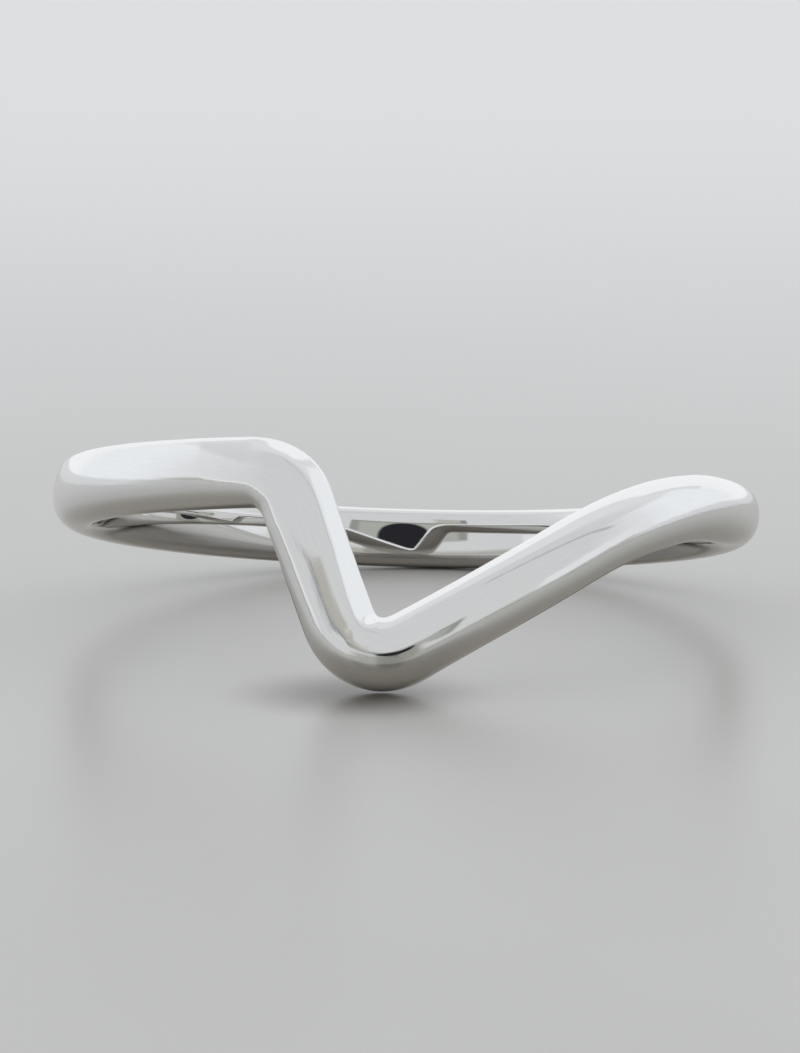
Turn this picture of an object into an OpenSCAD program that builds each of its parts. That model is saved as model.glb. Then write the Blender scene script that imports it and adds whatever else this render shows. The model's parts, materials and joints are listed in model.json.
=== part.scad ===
// Finger ring whose band drops to a lopsided point at the front.
// The band is one piece of metal: flat inside, rounded at its edges and gently domed outside.
// It lies on its side as it would on a table, on the tip of its point and on its back.
// Angles round the finger are counted from the point, positive towards +X. The point faces -Y.

/* [Band] */
// Inside diameter, which is the finger size
bore_d = 17; // [14:0.1:22]
// Thickness of the metal, from the inside to the top of the dome
wall = 1.4; // [1.1:0.05:2.2]
// Width of the band at the back of the ring
back_w = 1.67; // [1.3:0.01:2.4]
// Width of the band at the front of the ring
front_w = 1.92; // [1.4:0.01:2.6]
// Extra width where the two arms meet
point_extra_w = 0.09; // [0:0.01:0.4]

/* [Section] */
// Radius of the two edges next to the finger
inner_edge_r = 0.5; // [0.1:0.05:0.5]
// Radius of the two edges on the outside
outer_edge_r = 0.8; // [0.2:0.05:0.85]
// Radius of the dome across the outside
dome_r = 1.8; // [1.2:0.1:6]

/* [Point] */
// Drop of the centreline from the shank to the corner of the point
point_drop = 5.53; // [2:0.01:7]
// Radius of the notch inside the point
notch_r = 0.26; // [0.1:0.02:1]

/* [Left shoulder] */
// Angle from the point to the corner of the left shoulder
left_at = 13.5; // [10:0.5:40]
// Radius of the crook under the left shoulder
crook_r = 0.44; // [0.1:0.02:2]

/* [Right shoulder] */
// Angle from the point to the corner of the right shoulder
right_at = 54.5; // [30:0.5:80]
// Drop of the centreline from the shank to the corner of the right shoulder
right_drop = 0.32; // [0:0.02:1]
// Radius of the right shoulder's bend, along the centreline
right_bend_r = 12.5; // [2:0.5:20]
// Angle from the point to where the right side starts to drop
side_at = 95; // [85:1:120]

/* [Resting pose] */
// Turn of the ring about the line from its point to its back, as it lies
lean = -0.4; // [-2:0.1:2]

/* [Hidden] */

// Radii and lengths in the sheet that the band is drawn on, halfway through the metal
bore_r = bore_d / 2;
mid_r = bore_r + wall / 2;
half_turn = mid_r * PI;
// Stretch beside the point over which the extra width fades, and how far right of it that is widest
swell_len = 1.3;
swell_off = 0.4;
// Inside edge of a bend lies half a width from the centreline
point_bend_r = notch_r + (front_w + point_extra_w) / 2;
left_bend_r = crook_r + front_w / 2;
side_bend_r = 30;
// Most of a leg that one bend takes, and most of the wall that an inner edge takes
leg_share = 0.49;
wall_share = 0.45;
// Most of the room between an inner edge and the middle of the dome that an outer edge takes
edge_share = 0.97;

// Metal left proud of the bore all round the shank, which the round bore then cuts away
stock = 0.05;
// Inside of the two arms stands this far outside the bore, so that the bore ends at the shoulders
relief = 0.02;
// The inner edge's rounding stops short of the flat by this angle
edge_run_out = 20;

// Longest step along the band, in degrees round the finger, and the finest one in a bend
straight_step = 3;
bend_step = 6;
// Steps across the band in the inside face, an inner edge, an outer edge and half of the dome
flat_steps = 3;
inner_steps = 4;
outer_steps = 6;
dome_steps = 2;
// Sides of the drawn bore and how far it runs past the band at each end
bore_sides = 240;
bore_over = 2;
// Passes in which the tilt of the resting ring settles
settle_passes = 5;

// Length in the sheet of an angle round the finger
function sheet(angle) = mid_r * PI * angle / 180;

// Corners of the centreline in the sheet: place round the finger, height and radius of the bend
corners = [
    [-half_turn, 0, 0],
    [-sheet(left_at), 0, left_bend_r],
    [0, -point_drop, point_bend_r],
    [sheet(right_at), -right_drop, right_bend_r],
    [sheet(side_at), 0, side_bend_r],
    [half_turn, 0, 0]
];

function flat2(p) = [p.x, p.y];
function leg(i) = flat2(corners[i + 1]) - flat2(corners[i]);
function heading(i) = atan2(leg(i).y, leg(i).x);
function turn(i) = heading(i) - heading(i - 1);

// A bend uses less than half of the leg on either side of it
function setback(i) = min(
    corners[i].z * tan(abs(turn(i)) / 2),
    leg_share * norm(leg(i - 1)),
    leg_share * norm(leg(i))
);

// Stations of one bend: place, height and heading of the centreline
function bend(i) =
    let (
        cut = setback(i),
        r = cut / tan(turn(i) / 2),
        start = flat2(corners[i]) - cut * [cos(heading(i - 1)), sin(heading(i - 1))],
        centre = start + r * [-sin(heading(i - 1)), cos(heading(i - 1))],
        run = abs(r * turn(i)) * PI / 180,
        n = max(ceil(abs(turn(i)) / bend_step), ceil(run / sheet(straight_step)), 2)
    )
    [for (k = [0:n])
        let (way = heading(i - 1) + turn(i) * k / n)
        [centre.x + r * sin(way), centre.y - r * cos(way), way]];

// Stations strictly between two others
function straight(p, q) =
    let (n = ceil(norm(flat2(q) - flat2(p)) / sheet(straight_step)))
    [for (k = [1:1:n - 1]) p + (q - p) * k / n];

bends = [for (i = [1:len(corners) - 2]) bend(i)];
first = [corners[0].x, corners[0].y, heading(0)];
last_leg = len(corners) - 2;
last = [corners[last_leg + 1].x, corners[last_leg + 1].y, heading(last_leg)];
ends = concat([[first]], bends, [[last]]);
stations = [for (i = [0:len(ends) - 2])
    each concat(ends[i], straight(ends[i][len(ends[i]) - 1], ends[i + 1][0]))];

// The bore's round wall runs from the right shoulder round the back to the left shoulder
land_left = bends[0][0].x;
land_right = sheet(right_at);
function seat(s) = s <= land_left || s >= land_right ? -stock : relief;

// Width of the band at a place round the finger
function width(s) =
    let (front = (1 + cos(180 * s / half_turn)) / 2, t = (s - swell_off) / swell_len)
    back_w + (front_w - back_w) * front + point_extra_w * exp(-t * t);

function arc(centre, r, from, to, n) =
    [for (k = [0:n])
        let (a = from + (to - from) * k / n)
        centre + r * [cos(a), sin(a)]];

// Radius of an outer edge that meets the dome on one side of it and the inner edge on the other
function full_edge(w, inner_r, dome_b) =
    (pow(dome_r, 2) - pow(w / 2, 2) - pow(inner_r - dome_b, 2)) / (2 * dome_r - w);

// Upper half of the section, from the end of the inner flat to the top of the dome, as [across, outwards]
function half_section(w, floor_b) =
    let (
        inner_r = min(inner_edge_r, wall_share * wall),
        dome_b = wall - dome_r,
        outer_r = min(outer_edge_r, edge_share * w / 2, edge_share * full_edge(w, inner_r, dome_b)),
        outer_b = dome_b + sqrt(pow(dome_r - outer_r, 2) - pow(w / 2 - outer_r, 2)),
        edge = atan2(outer_b - dome_b, w / 2 - outer_r),
        inner = arc([w / 2 - inner_r, inner_r], inner_r, edge_run_out - 90, 0, inner_steps),
        flat_a = inner[0].x - (inner[0].y - floor_b) / tan(edge_run_out),
        dome = arc([0, dome_b], dome_r, edge, 90, dome_steps)
    )
    concat(
        [[flat_a, floor_b]],
        inner,
        arc([w / 2 - outer_r, outer_b], outer_r, 0, edge, outer_steps),
        [for (k = [1:dome_steps]) dome[k]]
    );

function section(w, floor_b) =
    let (half = half_section(w, floor_b), n = len(half), flat_a = half[0].x)
    concat(
        half,
        [for (k = [n - 2:-1:0]) [-half[k].x, half[k].y]],
        [for (k = [1:flat_steps - 1]) [flat_a * (2 * k / flat_steps - 1), floor_b]]
    );

// Point of the ring for a station and a point of its section
function wrap(station, p) =
    let (
        angle = 180 * (station.x - p.x * sin(station.z)) / half_turn,
        height = station.y + p.x * cos(station.z),
        r = bore_r + p.y
    )
    [r * sin(angle), -r * cos(angle), height];

rings = [for (t = stations) [for (p = section(width(t.x), seat(t.x))) wrap(t, p)]];
around = len(rings);
across = len(rings[0]);
skin = [for (ring = rings) each ring];
quads = [for (i = [0:around - 1], j = [0:across - 1])
    let (i2 = (i + 1) % around, j2 = (j + 1) % across)
    [i * across + j, i * across + j2, i2 * across + j2, i2 * across + j]];
facets = [for (q = quads) each [[q[0], q[1], q[2]], [q[0], q[2], q[3]]]];

// Directions of the table's axes seen from the ring, for a tilt that lifts its front
function table_x(tilt) = [cos(lean), -sin(lean) * sin(tilt), sin(lean) * cos(tilt)];
function table_y(tilt) = [0, cos(tilt), sin(tilt)];
function table_z(tilt) = [-sin(lean), -cos(lean) * sin(tilt), cos(lean) * cos(tilt)];

// Lowest of some points, as [along Y, height] on the table
function lowest(points, tilt) =
    let (
        heights = [for (p = points) p * table_z(tilt)],
        at = points[search(min(heights), heights)[0]]
    )
    [at * table_y(tilt), at * table_z(tilt)];

front_half = [for (p = skin) if (p.y < 0) p];
back_half = [for (p = skin) if (p.y > 0) p];
function settle(tilt, passes) =
    passes == 0 ? tilt
    : let (gap = lowest(back_half, tilt) - lowest(front_half, tilt))
    settle(tilt + atan2(gap[1], gap[0]), passes - 1);

tilt = settle(0, settle_passes);
x_reach = [for (p = skin) p * table_x(tilt)];
y_reach = [for (p = skin) p * table_y(tilt)];
z_reach = [for (p = skin) p * table_z(tilt)];
// Moves the lying ring so that the origin is on the table, under the middle of its box
to_table = -[(min(x_reach) + max(x_reach)) / 2, (min(y_reach) + max(y_reach)) / 2, min(z_reach)];

// The whole ring, lying on the table with its finger hole open from side to side
module band() {
    color([0.80, 0.80, 0.79])
    translate(to_table)
    rotate([-tilt, lean, 0])
    difference() {
        polyhedron(points = skin, faces = facets);
        translate([0, 0, -point_drop - bore_over])
            cylinder(r = bore_r, h = point_drop + 2 * bore_over + front_w, $fn = bore_sides);
    }
}

band();
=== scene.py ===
"""Chevron ring: one polished band that drops to a lopsided point, lying on a pale floor in soft light."""

import json
import math

import bpy
import numpy as np
from mathutils import Matrix, Vector


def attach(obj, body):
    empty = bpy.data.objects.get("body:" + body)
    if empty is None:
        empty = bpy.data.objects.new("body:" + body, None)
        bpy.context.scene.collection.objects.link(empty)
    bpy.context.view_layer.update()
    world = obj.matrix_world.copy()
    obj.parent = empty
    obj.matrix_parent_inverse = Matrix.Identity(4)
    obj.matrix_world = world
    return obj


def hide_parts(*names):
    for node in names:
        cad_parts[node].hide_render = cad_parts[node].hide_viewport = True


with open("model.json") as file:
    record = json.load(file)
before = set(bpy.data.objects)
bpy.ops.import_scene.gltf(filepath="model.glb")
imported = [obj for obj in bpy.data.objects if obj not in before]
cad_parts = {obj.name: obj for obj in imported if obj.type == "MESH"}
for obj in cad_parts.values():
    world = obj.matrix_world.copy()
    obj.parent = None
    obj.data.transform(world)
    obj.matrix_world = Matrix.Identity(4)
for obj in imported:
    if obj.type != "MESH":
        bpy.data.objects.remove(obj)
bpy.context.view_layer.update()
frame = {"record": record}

MM = 0.001
PICTURE = (800, 1053)

# Sizes of the ring in millimetres and degrees, as its solid has them but for the sharper inner edge
WALL = 1.4
BACK_W = 1.67
FRONT_W = 1.92
POINT_EXTRA_W = 0.09
INNER_EDGE_R = 0.3
OUTER_EDGE_R = 0.8
DOME_R = 1.8
# The left side's upper outer edge is crisper: its radius, and the places between which it comes and goes
CRISP_EDGE_R = 0.35
CRISP_RISE = (-16.0, -12.0)
CRISP_FADE = (-3.0, -2.0)
# Where bending has spread the upper side of the band: place along it, length and height
SWELLS = ((-10.5, 4.0, 0.07), (-2.25, 0.65, 0.04))
# Crown that wear has left on the inside: its lean at the middle of the band, how far outside the bore
# it stands there, and its radius
CROWN_LEAN = math.radians(5.8)
CROWN_OUT = 0.097
CROWN_R = 7.5
# A file has turned the left arm's face towards the notch: places along the band, and the turn in degrees
TURNS = (
    (-4.5, 0.0), (-3.2, 10.0), (-2.3, 16.0), (-1.64, 16.0),
    (-1.21, 11.0), (-0.78, 8.5), (-0.3, 4.0), (0.3, 0.0),
)
# It has also flattened the face from two places across it on, to these radii
FACE_FROM = (-0.32, -0.06)
FACE_R = (3.6, 7.0)
# And it has bevelled the notch side: angle to the side, the crease's softness, and the bevel's foot
# above the inside at two places along the band
BEVEL_TURN = math.radians(24.0)
CREASE = 0.09
BEVEL_FOOT = ((-1.3, 0.6), (-0.78, 0.4))
# Places along the band between which the flat and the bevel rise, and between which they fade, and the
# widths across and outwards in which they blend with the rest of the section
FILED_RISE = (-3.2, -2.4)
FILED_FADE = (-0.5, 0.3)
FACE_BLEND = 0.15
FOOT_BLEND = 0.1
# The tip's face ends in a crease below its middle: where that lies across the band, the radius of the
# strip under it, the places along the band between which it comes and goes, and the share of the upper
# half in which the raised face runs out
TIP_CREASE = -0.08
STRIP_R = 12.0
TIP_RISE = (-0.5, -0.1)
TIP_FADE = (1.4, 2.2)
TIP_RUN_OUT = 0.9
# The centreline's corners and bends, and the extra width at the point, as its solid has them
POINT_DROP = 5.53
NOTCH_R = 0.26
LEFT_AT = 13.5
CROOK_R = 0.44
RIGHT_AT = 54.5
RIGHT_DROP = 0.32
RIGHT_BEND_R = 12.5
SIDE_AT = 95.0
SIDE_BEND_R = 30.0
SWELL_LEN = 1.3
SWELL_OFF = 0.4

# Steps along the band and round its section
ALONG = 1080
FLAT_STEPS = 8
INNER_STEPS = 8
SIDE_STEPS = 4
OUTER_STEPS = 18
DOME_STEPS = 20
# How far polishing has eased the bends, in millimetres, and the section, in points of it
EASE_ALONG = 0.2
EASE_POINTS = 1
# Extra stations that a degree of bend gets, in millimetres of band
BEND_PULL = 0.03
# Points of the centreline as it is drawn: in a bend, and in all
BEND_POINTS = 60
LINE_POINTS = 6000

# Where the ring lies: the bore's centre, and the turn that lays its axis over
bore = frame["record"]["mounts"][0]
CENTRE = Vector(bore["pos_m"])
AXIS = Vector(bore["axis"]).normalized()
BORE_R = bore["dims"]["r_mm"]
TILT = math.asin(AXIS.y)
LEAN = math.atan2(AXIS.x, AXIS.z)
LAY = Matrix.Translation(CENTRE) @ Matrix.Rotation(LEAN, 4, "Y") @ Matrix.Rotation(-TILT, 4, "X")
MID_R = BORE_R + WALL / 2
HALF_TURN = MID_R * math.pi

# The view: degrees from straight ahead and above the floor, distance, the scale at the ring's centre and
# where that is in the picture, the sensor's height, and the nearest and farthest that shows
VIEW_AZIMUTH = 7.38
VIEW_ELEVATION = 9.92
VIEW_DISTANCE = 0.25
PIXELS_PER_MM = 35.64
CENTRE_PIXEL = (406.1, 507.0)
SENSOR = 36.0
CLIP = (0.005, 20)

# Metal: scale of its streaks across, outwards and along the band, then scale, detail and roughness of the
# noise that draws them, and scale and detail of a softer one
STREAK_STRETCH = (14.0, 14.0, 0.9)
STREAK_NOISE = (2.2, 4.0, 0.6)
CLOUD_NOISE = (0.9, 2.0)
# Two colours and the streaks' values between which they change, and the roughness that streaks and
# clouds add: two of their values and the roughness at each
METAL = ((0.915, 0.915, 0.91), (0.945, 0.945, 0.94))
METAL_FROM = (0.35, 0.7)
STREAK_GLOSS = (0.3, 0.75, 0.02, 0.05)
CLOUD_GLOSS = (0.35, 0.65, 0.0, 0.02)
# Bump of the streaks, the inside's share of the roughness, and the distances from the bore between which
# inside turns into outside
BUMP_STRENGTH = 0.05
BUMP_HEIGHT = 0.00002
INSIDE_GLOSS = 0.5
OUTSIDE_FROM = (0.25, 0.5)

# Floor as the view sees it: half its side in metres, its clouds, two colours near, one far that is
# lighter, a painted sheen, and the places between which near turns into far, and the painted shadow under
# the tip with its centre and reach
FLOOR_SIZE = 3.0
FLOOR_ROUGHNESS = 0.30
FLOOR_NOISE = (30.0, 4.0)
FLOOR_CLOUD = (0.3, 0.7)
FLOOR_NEAR = ((0.585, 0.577, 0.56), (0.615, 0.607, 0.59))
FLOOR_FAR_SHEEN = (0.89, 0.89, 0.89)
SHEEN_FROM = (0.0, 0.12)
TIP_SHADE = ((0.0, -0.0098, 0.0), 0.0004, 0.004, (0.15, 0.14, 0.125))
# Floor as the metal mirrors it, a painted reflection that only the metal shows: two colours, one more on
# the left, lighter, and one on the right, darker, round painted shades near the ring with their centre and
# reach, and the white part behind, a painted sheen
MIRRORED = ((0.40, 0.39, 0.355), (0.45, 0.44, 0.405))
MIRRORED_SIDES = (((-0.009, -0.015), (0.53, 0.525, 0.50)), ((0.025, 0.05), (0.30, 0.285, 0.25)))
MIRRORED_SHADES = (
    ((0.0, 0.0, 0.0), 0.010, 0.016, (0.36, 0.335, 0.295)),
    ((0.0015, -0.016, 0.0), 0.003, 0.008, (0.20, 0.18, 0.145)),
    ((0.0, 0.001, 0.0), 0.006, 0.009, (0.07, 0.055, 0.035)),
)
BEHIND_REACH = (0.044, 0.062)
BEHIND_FROM = (-0.02, 0.01)
BEHIND = (0.76, 0.76, 0.76)

# Studio, by azimuth from the view, positive to the right, and by elevation, both in degrees
FRONT = (0.635, 0.64, 0.65)
SIDES = (0.85, 0.875, 0.905)
RIGHT_FROM = (58, 104)
LEFT_FROM = (-110, -45)
GLOWS = (((-72, -46), (2, 8), 1.5), ((50, 88), (0, 10), 2.0))
GLOW = (0.76, 0.78, 0.79)
CEILING = ((0.63, 0.635, 0.645), (0.74, 0.745, 0.76))
CEILING_TURN = (60, 125)
CEILING_FROM = (38, 47)
BACKDROP = (0.91, 0.925, 0.94)
BACKDROP_FROM = (132, 146)
BACKDROP_TOP = (51, 58)
BACKDROP_EDGE = ((132, 141), (26, 56), 1.5)
EDGE_COLOUR = (0.69, 0.70, 0.71)
EDGE_SHARE = 0.8
SEAM_NORMAL = (0.119, -0.931, 0.346)
SEAM_WIDTH = (0.018, 0.04)
SEAM_PART = ((-2, 72), (30, 86), 3.0)
SEAM_COLOUR = (0.42, 0.43, 0.46)
SEAM_SHARE = 0.85
CARD_SLOPE = 0.45
CARD_TOP = (34.3, 34.8)
CARD_FOOT = (10, 13)
CARD_SIDES = ((-22.6, -21.4), (-14.0, -9.5))
CARD = (0.455, 0.45, 0.415)
DARK_EDGE = (-24.6, -22.0, 0.5)
DARK = (0.26, 0.27, 0.29)
LOW_WALL_TOP = (1.5, 4.0)
LOW_WALL_PART = (-85, 50, 10)
LOW_WALL = (0.42, 0.42, 0.39)
# Where the view looks from: a stand, a grey bar with a darker rim, and the round black hood in it
FACING = (
    ((-9, 15), (-2, 10), 1.5, (0.31, 0.305, 0.28)),
    ((-24, 22), (8, 18.5), 0.7, (0.29, 0.30, 0.285)),
    ((-20.5, 18.5), (8, 16.5), 1.0, (0.40, 0.41, 0.38)),
)
HOOD_CENTRE = (0.5, 9.2)
HOOD_REACH = (10.5, 7.8)
HOOD_RIM = (0.8, 1.1)
HOOD = (0.02, 0.02, 0.025)


def sheet(angle):
    """Length along the band, halfway through the metal, of an angle round the finger."""
    return MID_R * math.radians(angle)


def bend(before, corner, after, radius):
    """Points of the arc that rounds a corner of the centreline."""
    way_in, way_out = corner - before, after - corner
    from_angle = math.atan2(way_in[1], way_in[0])
    turn = math.atan2(way_out[1], way_out[0]) - from_angle
    radius = math.copysign(radius, turn)
    start = corner - radius * math.tan(turn / 2) * way_in / np.linalg.norm(way_in)
    centre = start + radius * np.array([-math.sin(from_angle), math.cos(from_angle)])
    angles = from_angle + turn * np.linspace(0, 1, BEND_POINTS)
    return centre + radius * np.stack([np.sin(angles), -np.cos(angles)], 1)


def ease(values, step, length):
    """Smooths a closed row of points with a bell of the given length."""
    reach = int(math.ceil(3 * length / step))
    offsets = np.arange(-reach, reach + 1)
    weights = np.exp(-0.5 * (offsets * step / length) ** 2)
    weights /= weights.sum()
    return sum(w * np.roll(values, k, axis=0) for k, w in zip(offsets, weights))


def centreline():
    """Place round the finger, height and heading of each station, from the back round to the back."""
    corners = [
        (-HALF_TURN, 0, 0),
        (-sheet(LEFT_AT), 0, CROOK_R + FRONT_W / 2),
        (0, -POINT_DROP, NOTCH_R + (FRONT_W + POINT_EXTRA_W) / 2),
        (sheet(RIGHT_AT), -RIGHT_DROP, RIGHT_BEND_R),
        (sheet(SIDE_AT), 0, SIDE_BEND_R),
        (HALF_TURN, 0, 0),
    ]
    places = [np.array(c[:2], float) for c in corners]
    arcs = [bend(*places[i - 1:i + 2], corners[i][2]) for i in range(1, len(corners) - 1)]
    line = np.concatenate([places[:1]] + arcs + [places[-1:]])
    reach = np.r_[0, np.cumsum(np.linalg.norm(np.diff(line, axis=0), axis=1))]
    even = np.linspace(0, reach[-1], LINE_POINTS, endpoint=False)
    step = even[1]
    line = np.stack([np.interp(even, reach, line[:, k]) for k in range(2)], 1)
    # The drift once round is taken off while the row is treated as closed
    drift = np.stack([-HALF_TURN + 2 * HALF_TURN * even / reach[-1], np.zeros(len(even))], 1)
    line = ease(line - drift, step, EASE_ALONG) + drift
    ahead = np.roll(line, -1, axis=0) - np.roll(line, 1, axis=0)
    ahead[[0, -1], 0] += 2 * HALF_TURN
    heading = np.arctan2(ahead[:, 1], ahead[:, 0])
    pull = step + BEND_PULL * np.degrees(np.abs(np.gradient(heading)))
    weight = np.r_[0, np.cumsum(pull)]
    at = np.linspace(0, weight[-1], ALONG, endpoint=False)
    index = np.interp(at, weight, np.arange(len(weight)))
    closed = [np.r_[line[:, 0], line[0, 0] + 2 * HALF_TURN], np.r_[line[:, 1], line[0, 1]],
              np.r_[heading, heading[0]]]
    return [np.interp(index, np.arange(len(c)), c) for c in closed]


def arc(centre, radius, start, end, steps):
    """Points of an arc but its last, with a column for each station."""
    angles = [start + (end - start) * k / steps for k in range(steps)]
    return [(centre[0] + radius * np.cos(a), centre[1] + radius * np.sin(a)) for a in angles]


def section(width, upper_edge_r):
    """Closed section of the band for each station, as across and outwards from the bore."""
    half = width / 2
    dome_b = WALL - DOME_R
    quarter = math.pi / 2

    def outer_edge(radius):
        """Centre of an outer edge's arc, and the angle at which it meets the dome."""
        place = half - radius
        rise = np.sqrt((DOME_R - radius) ** 2 - place ** 2)
        return place, dome_b + rise, np.arctan2(rise, place)

    side_a, outer_b, edge = outer_edge(OUTER_EDGE_R)
    upper_a, upper_b, upper_edge = outer_edge(upper_edge_r)

    # The inside is a shallow crown, and each inner edge runs on from it without a crease
    inner_a = half - INNER_EDGE_R
    crest_a = CROWN_R * math.sin(CROWN_LEAN)
    crown_b = CROWN_OUT + CROWN_R * math.cos(CROWN_LEAN)
    edge_way = CROWN_R - INNER_EDGE_R
    lean_top, lean_low = (np.arcsin((side * inner_a - crest_a) / edge_way) for side in (1, -1))
    top_b, low_b = (crown_b - edge_way * np.cos(lean) for lean in (lean_top, lean_low))
    top = arc((inner_a, top_b), INNER_EDGE_R, lean_top - quarter, 0, INNER_STEPS)
    top += [(half, top_b + (upper_b - top_b) * k / SIDE_STEPS) for k in range(SIDE_STEPS)]
    top += arc((upper_a, upper_b), upper_edge_r, 0, upper_edge, OUTER_STEPS)
    dome = arc((0, dome_b), DOME_R, upper_edge, math.pi - edge, DOME_STEPS)
    low = arc((-side_a, outer_b), OUTER_EDGE_R, math.pi - edge, math.pi, OUTER_STEPS)
    low += [(-half, outer_b + (low_b - outer_b) * k / SIDE_STEPS) for k in range(SIDE_STEPS)]
    low += arc((-inner_a, low_b), INNER_EDGE_R, math.pi, 1.5 * math.pi + lean_low, INNER_STEPS)
    crown = arc((crest_a, crown_b), CROWN_R, lean_low - quarter, lean_top - quarter, FLAT_STEPS)
    return np.array([(a + 0 * half, b + 0 * half) for a, b in top + dome + low + crown])


def smooth_step(values, low, high):
    """Share that rises softly from 0 at low to 1 at high."""
    share = np.clip((values - low) / (high - low), 0, 1)
    return share * share * (3 - 2 * share)


def between_places(along, rise, fade):
    """Share that rises softly between two places along the band and fades between two others."""
    return smooth_step(along, *rise) * (1 - smooth_step(along, *fade))


def filed(along, across, outward, half):
    """How far outwards the section's points stand where a file has worked on the left arm."""
    turn = np.radians(np.interp(along, *zip(*TURNS)))
    turned = 1 - np.tan(turn) * across / WALL
    start, fold = FACE_FROM
    centre_b = math.sqrt(DOME_R ** 2 - start ** 2)
    past, past_fold = across - start, np.maximum(across - fold, 0)
    drop = (past - past_fold) ** 2 / (2 * FACE_R[0]) + past_fold * (fold - start) / FACE_R[0]
    drop = drop + past_fold ** 2 / (2 * FACE_R[1])
    face = turned * (WALL - DOME_R + centre_b - start / centre_b * past - drop)
    foot = np.interp(along, *zip(*BEVEL_FOOT))
    bevel = foot + (half - across) / math.tan(BEVEL_TURN)
    eased = (face + bevel) / 2 - np.hypot((face - bevel) / 2, CREASE)
    worked = between_places(along, FILED_RISE, FILED_FADE)
    worked = worked * smooth_step(across, start, start + FACE_BLEND)
    worked = worked * smooth_step(outward, foot - FOOT_BLEND, foot)
    return outward * turned + worked * (eased - outward * turned)


def creased(along, across, half):
    """How much further outwards the section's points stand where the tip's face ends in a crease."""
    place = half - OUTER_EDGE_R
    end = np.arcsin(place / (DOME_R - OUTER_EDGE_R))
    foot = -DOME_R * np.sin(end)

    def strip(where):
        way = where - foot
        return DOME_R * (np.cos(end) - 1) + np.tan(end) * way - way ** 2 / (2 * STRIP_R)

    face = strip(TIP_CREASE)
    dome = np.sqrt(np.maximum(DOME_R ** 2 - across ** 2, 0)) - DOME_R
    under = np.where(across < TIP_CREASE, strip(across), face) - dome
    over = face * (1 - smooth_step(across, 0, TIP_RUN_OUT * half))
    raised = np.where(across < 0, under, over)
    return between_places(along, TIP_RISE, TIP_FADE) * np.where(across > foot, raised, 0)


def make_band():
    """The ring's band as one closed skin, with a note of where each point lies along and across it."""
    along, height, heading = centreline()
    front = (1 + np.cos(along / MID_R)) / 2
    swell = np.exp(-((along - SWELL_OFF) / SWELL_LEN) ** 2)
    spread = sum(extra * np.exp(-((along - at) / length) ** 2) for at, length, extra in SWELLS)
    width = BACK_W + (FRONT_W - BACK_W) * front + POINT_EXTRA_W * swell + spread
    crisp = between_places(along, CRISP_RISE, CRISP_FADE)
    upper_edge_r = OUTER_EDGE_R + (CRISP_EDGE_R - OUTER_EDGE_R) * crisp
    across, outward = np.moveaxis(section(width, upper_edge_r), 1, 0)
    on_face = outward > WALL / 2
    outward = filed(along, across, outward, width / 2) + on_face * creased(along, across, width / 2)
    across, outward = ease(across, 1, EASE_POINTS), ease(outward, 1, EASE_POINTS)
    across = across + spread / 2
    angle = (along - across * np.sin(heading)) / MID_R
    radius = BORE_R + outward
    place_z = height + across * np.cos(heading)
    points = np.stack([radius * np.sin(angle), -radius * np.cos(angle), place_z], -1)
    rows = len(points)
    turn = np.array(LAY.to_3x3())
    points = points * MM @ turn.T + np.array(LAY.translation)

    vertices = points.reshape(-1, 3)
    index = np.arange(rows * ALONG).reshape(rows, ALONG)
    next_row, next_column = np.roll(index, -1, axis=0), np.roll(index, -1, axis=1)
    corner = np.roll(next_row, -1, axis=1)
    faces = np.stack([index, next_row, corner, next_column], -1).reshape(-1, 4)
    mesh = bpy.data.meshes.new("band_skin")
    mesh.from_pydata(vertices.tolist(), [], faces.tolist())
    mesh.shade_smooth()
    grain = mesh.attributes.new("grain", "FLOAT_VECTOR", "POINT")
    place = np.stack([across, outward, np.abs(along) + 0 * across], -1)
    grain.data.foreach_set("vector", place.reshape(-1).astype(np.float32))
    piece = bpy.data.objects.new("polished_band", mesh)
    bpy.context.scene.collection.objects.link(piece)
    piece.data.materials.append(polished_metal())
    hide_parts("band")
    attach(piece, "root")


class Nodes:
    """Short way to add and join a material's or a world's nodes."""

    def __init__(self, tree):
        self.tree = tree
        self.tree.nodes.clear()

    def add(self, kind, inputs=(), **settings):
        node = self.tree.nodes.new(kind)
        for name, value in settings.items():
            setattr(node, name, value)
        for name, value in dict(inputs).items():
            if isinstance(value, bpy.types.NodeSocket):
                self.tree.links.new(value, node.inputs[name])
            else:
                node.inputs[name].default_value = value
        return node

    def math(self, operation, *values):
        return self.add("ShaderNodeMath", dict(enumerate(values)), operation=operation).outputs[0]

    def ramp(self, value, low, high, to_low=0.0, to_high=1.0):
        node = self.add("ShaderNodeMapRange", {
            "Value": value, "From Min": low, "From Max": high, "To Min": to_low, "To Max": to_high,
        }, interpolation_type="SMOOTHSTEP")
        return node.outputs["Result"]

    def mix(self, factor, first, second):
        node = self.add("ShaderNodeMix", data_type="RGBA")
        for slot, value in ((0, factor), (6, first), (7, second)):
            if isinstance(value, bpy.types.NodeSocket):
                self.tree.links.new(value, node.inputs[slot])
            else:
                node.inputs[slot].default_value = value if slot == 0 else (*value, 1)
        return node.outputs[2]

    def noise(self, vector, scale, detail=2.0, roughness=0.5):
        return self.add("ShaderNodeTexNoise", {
            "Vector": vector, "Scale": scale, "Detail": detail, "Roughness": roughness,
        }).outputs["Fac"]


def material(name):
    made = bpy.data.materials.new(name)
    made.use_nodes = True
    return made, Nodes(made.node_tree)


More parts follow.
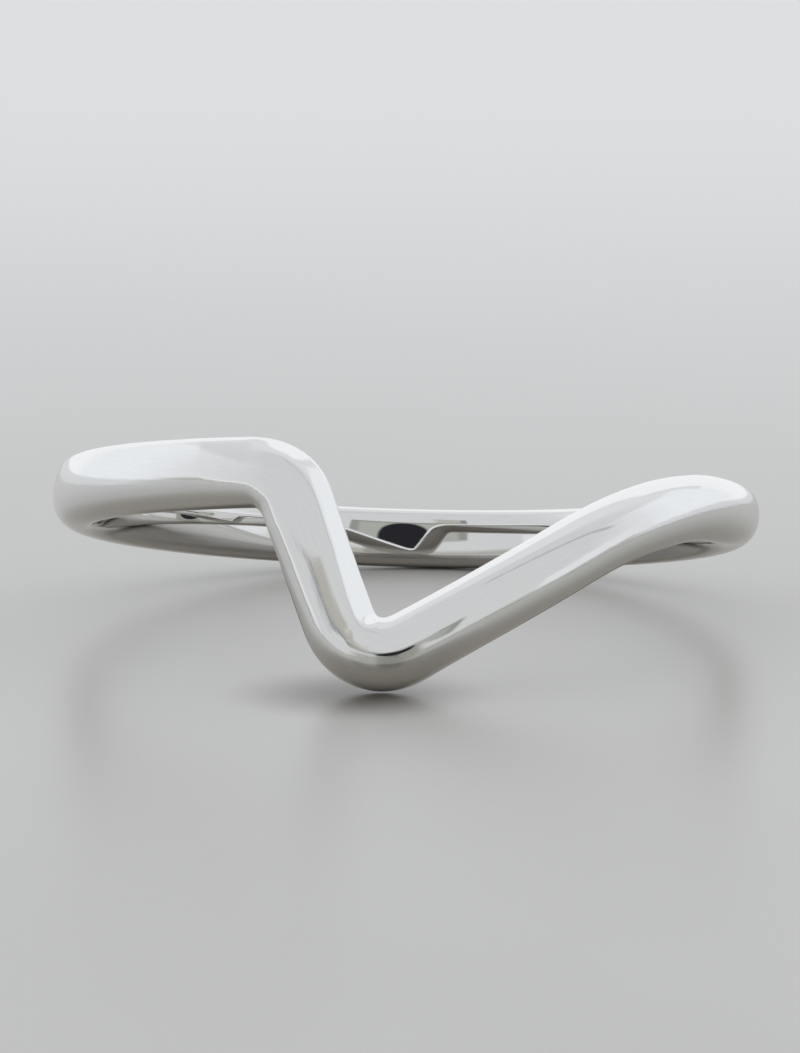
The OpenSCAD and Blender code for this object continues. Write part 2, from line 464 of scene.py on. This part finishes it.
def polished_metal():
    """White metal, nearly a mirror, with faint streaks along its length. The inside is the smoothest."""
    made, n = material("polished_white_metal")
    grain = n.add("ShaderNodeAttribute", attribute_name="grain").outputs["Vector"]
    drawn_out = n.add("ShaderNodeVectorMath", {0: grain, 1: STREAK_STRETCH}, operation="MULTIPLY")
    streaks = n.noise(drawn_out.outputs[0], *STREAK_NOISE)
    clouds = n.noise(grain, *CLOUD_NOISE)
    colour = n.mix(n.ramp(streaks, *METAL_FROM), *METAL)
    gloss = n.math("ADD", n.ramp(streaks, *STREAK_GLOSS), n.ramp(clouds, *CLOUD_GLOSS))
    outward = n.add("ShaderNodeSeparateXYZ", {"Vector": grain}).outputs["Y"]
    outside = n.ramp(outward, *OUTSIDE_FROM)
    share = n.math("ADD", n.math("MULTIPLY", outside, 1 - INSIDE_GLOSS), INSIDE_GLOSS)
    gloss = n.math("MULTIPLY", gloss, share)
    height = n.math("MULTIPLY", streaks, outside)
    bump = n.add("ShaderNodeBump", {
        "Strength": BUMP_STRENGTH, "Distance": BUMP_HEIGHT, "Height": height,
    })
    shader = n.add("ShaderNodeBsdfPrincipled", {
        "Metallic": 1.0, "Base Color": colour, "Roughness": gloss, "Normal": bump.outputs["Normal"],
    })
    n.add("ShaderNodeOutputMaterial", {"Surface": shader.outputs[0]})
    return made


def floor_material():
    """Pale half-gloss floor with a painted sheen far off and a painted shadow under the tip. The metal
    mirrors a painted reflection of it: warmer, with painted shade near the ring and a white painted sheen
    behind it.
    """
    made, n = material("pale_floor")
    place = n.add("ShaderNodeTexCoord").outputs["Object"]
    part = n.add("ShaderNodeSeparateXYZ", {"Vector": place}).outputs
    cloud = n.ramp(n.noise(place, *FLOOR_NOISE), *FLOOR_CLOUD)

    def shaded(colour, centre, low, high, shade):
        way = n.add("ShaderNodeVectorMath", {0: place, 1: centre}, operation="DISTANCE")
        return n.mix(n.ramp(way.outputs["Value"], low, high, 1.0, 0.0), colour, shade)

    # The floor turns lighter towards the back: a painted sheen
    pale = n.mix(n.ramp(part["Y"], *SHEEN_FROM), n.mix(cloud, *FLOOR_NEAR), FLOOR_FAR_SHEEN)
    # Painted shadow on the floor round the place where the tip touches it
    pale = shaded(pale, *TIP_SHADE)
    # Painted reflection: colours the floor shows only in the metal, darker and warmer than the view sees
    # it
    painted_reflection = n.mix(cloud, *MIRRORED)
    # Painted light in the reflection: lighter to the left, darker to the right
    for reach, colour in MIRRORED_SIDES:
        painted_reflection = n.mix(n.ramp(part["X"], *reach), painted_reflection, colour)
    # Painted shade near the ring and inside it, seen only in the metal
    for shade in MIRRORED_SHADES:
        painted_reflection = shaded(painted_reflection, *shade)
    # Painted sheen: white on the floor far behind the ring, seen only in the metal
    away = n.add("ShaderNodeVectorMath", {0: place}, operation="LENGTH").outputs["Value"]
    behind = n.math("MULTIPLY", n.ramp(away, *BEHIND_REACH), n.ramp(part["Y"], *BEHIND_FROM))
    painted_reflection = n.mix(behind, painted_reflection, BEHIND)
    mirrored = n.add("ShaderNodeLightPath").outputs["Is Glossy Ray"]
    shader = n.add("ShaderNodeBsdfPrincipled", {
        "Base Color": n.mix(mirrored, pale, painted_reflection), "Roughness": FLOOR_ROUGHNESS,
    })
    n.add("ShaderNodeOutputMaterial", {"Surface": shader.outputs[0]})
    return made


def make_floor():
    mesh = bpy.data.meshes.new("floor")
    corners = [(x * FLOOR_SIZE, y * FLOOR_SIZE, 0) for x, y in ((-1, -1), (1, -1), (1, 1), (-1, 1))]
    mesh.from_pydata(corners, [], [(0, 1, 2, 3)])
    floor = bpy.data.objects.new("floor", mesh)
    bpy.context.scene.collection.objects.link(floor)
    mesh.materials.append(floor_material())


def view_axes():
    """Where the view looks from, and its right and up, as directions."""
    azimuth, elevation = math.radians(VIEW_AZIMUTH), math.radians(VIEW_ELEVATION)
    flat = math.cos(elevation)
    back = Vector((math.sin(azimuth) * flat, -math.cos(azimuth) * flat, math.sin(elevation)))
    right = Vector((0, 0, 1)).cross(back).normalized()
    return back, right, back.cross(right)


def make_camera():
    back, right, up = view_axes()
    data = bpy.data.cameras.new("camera")
    data.sensor_fit = "VERTICAL"
    data.sensor_height = SENSOR
    data.lens = PIXELS_PER_MM / MM * VIEW_DISTANCE / PICTURE[1] * SENSOR
    data.shift_x = (PICTURE[0] / 2 - CENTRE_PIXEL[0]) / PICTURE[1]
    data.shift_y = (CENTRE_PIXEL[1] - PICTURE[1] / 2) / PICTURE[1]
    data.clip_start, data.clip_end = CLIP
    camera = bpy.data.objects.new("camera", data)
    turn = Matrix((right, up, back)).transposed().to_4x4()
    camera.matrix_world = Matrix.Translation(CENTRE + back * VIEW_DISTANCE) @ turn
    bpy.context.scene.collection.objects.link(camera)
    bpy.context.scene.camera = camera


def make_surroundings():
    """Soft studio: white sides and back, a greyer front with a few darker things in it, a pale ceiling."""
    scene = bpy.context.scene
    scene.view_settings.view_transform = "Standard"
    world = bpy.data.worlds.new("studio")
    world.use_nodes = True
    scene.world = world
    n = Nodes(world.node_tree)
    way = n.add("ShaderNodeTexCoord").outputs["Generated"]
    part = n.add("ShaderNodeSeparateXYZ", {"Vector": way}).outputs
    up = n.math("DEGREES", n.math("ARCSINE", part["Z"]))
    round_way = n.math("DEGREES", n.math("ARCTAN2", part["X"], n.math("MULTIPLY", part["Y"], -1.0)))
    round_way = n.math("SUBTRACT", round_way, VIEW_AZIMUTH)
    off_front = n.math("ABSOLUTE", round_way)

    def falling(value, low, high):
        return n.ramp(value, low, high, 1.0, 0.0)

    def between(value, low, high, soft):
        rise = n.ramp(value, low - soft, low + soft)
        return n.math("MULTIPLY", rise, falling(value, high - soft, high + soft))

    def patch(azimuths, elevations, soft):
        return n.math("MULTIPLY", between(round_way, *azimuths, soft), between(up, *elevations, soft))

    def slanted(right, front, above):
        """Direction given by its parts to the right of, towards and above the view."""
        azimuth = math.radians(VIEW_AZIMUTH)
        return (right * math.cos(azimuth) + front * math.sin(azimuth),
                right * math.sin(azimuth) - front * math.cos(azimuth), above)

    sides = n.math("MAXIMUM", n.ramp(round_way, *RIGHT_FROM), falling(round_way, *LEFT_FROM))
    colour = n.mix(sides, FRONT, SIDES)
    # Light that shows just above the horizon on either side of the front
    colour = n.mix(n.math("MAXIMUM", *(patch(*glow) for glow in GLOWS)), colour, GLOW)
    # Ceiling, greyer than the sides and brighter towards the back, and the white backdrop up to it
    ceiling = n.mix(n.ramp(off_front, *CEILING_TURN), *CEILING)
    colour = n.mix(n.ramp(up, *CEILING_FROM), colour, ceiling)
    back = n.math("MULTIPLY", n.ramp(off_front, *BACKDROP_FROM), falling(up, *BACKDROP_TOP))
    colour = n.mix(back, colour, BACKDROP)
    colour = n.mix(n.math("MULTIPLY", patch(*BACKDROP_EDGE), EDGE_SHARE), colour, EDGE_COLOUR)
    # Seam of the ceiling, which runs up from the right and over the view
    seam = n.add("ShaderNodeVectorMath", {0: way, 1: slanted(*SEAM_NORMAL)}, operation="DOT_PRODUCT")
    seam = falling(n.math("ABSOLUTE", seam.outputs["Value"]), *SEAM_WIDTH)
    seam = n.math("MULTIPLY", seam, patch(*SEAM_PART))
    colour = n.mix(n.math("MULTIPLY", seam, SEAM_SHARE), colour, SEAM_COLOUR)
    # Beige card with a dark edge, to the left of the view, and with a slanted top
    under_top = n.math("SUBTRACT", up, n.math("MULTIPLY", round_way, CARD_SLOPE))
    under_top = n.math("MULTIPLY", falling(under_top, *CARD_TOP), n.ramp(up, *CARD_FOOT))
    card = n.math("MULTIPLY", n.ramp(round_way, *CARD_SIDES[0]), falling(round_way, *CARD_SIDES[1]))
    colour = n.mix(n.math("MULTIPLY", card, under_top), colour, CARD)
    colour = n.mix(n.math("MULTIPLY", between(round_way, *DARK_EDGE), under_top), colour, DARK)
    # Grey front of the studio near the floor, and what stands where the view looks from
    low_wall = n.math("MULTIPLY", falling(up, *LOW_WALL_TOP), between(round_way, *LOW_WALL_PART))
    colour = n.mix(low_wall, colour, LOW_WALL)
    for azimuths, elevations, soft, shade in FACING:
        colour = n.mix(patch(azimuths, elevations, soft), colour, shade)
    hood = [n.math("DIVIDE", n.math("SUBTRACT", value, centre), reach)
            for value, centre, reach in zip((round_way, up), HOOD_CENTRE, HOOD_REACH)]
    hood = n.math("ADD", *(n.math("POWER", value, 2.0) for value in hood))
    colour = n.mix(falling(hood, *HOOD_RIM), colour, HOOD)
    background = n.add("ShaderNodeBackground", {"Color": colour, "Strength": 1.0})
    n.add("ShaderNodeOutputWorld", {"Surface": background.outputs[0]})


make_camera()
make_surroundings()
make_floor()
make_band()
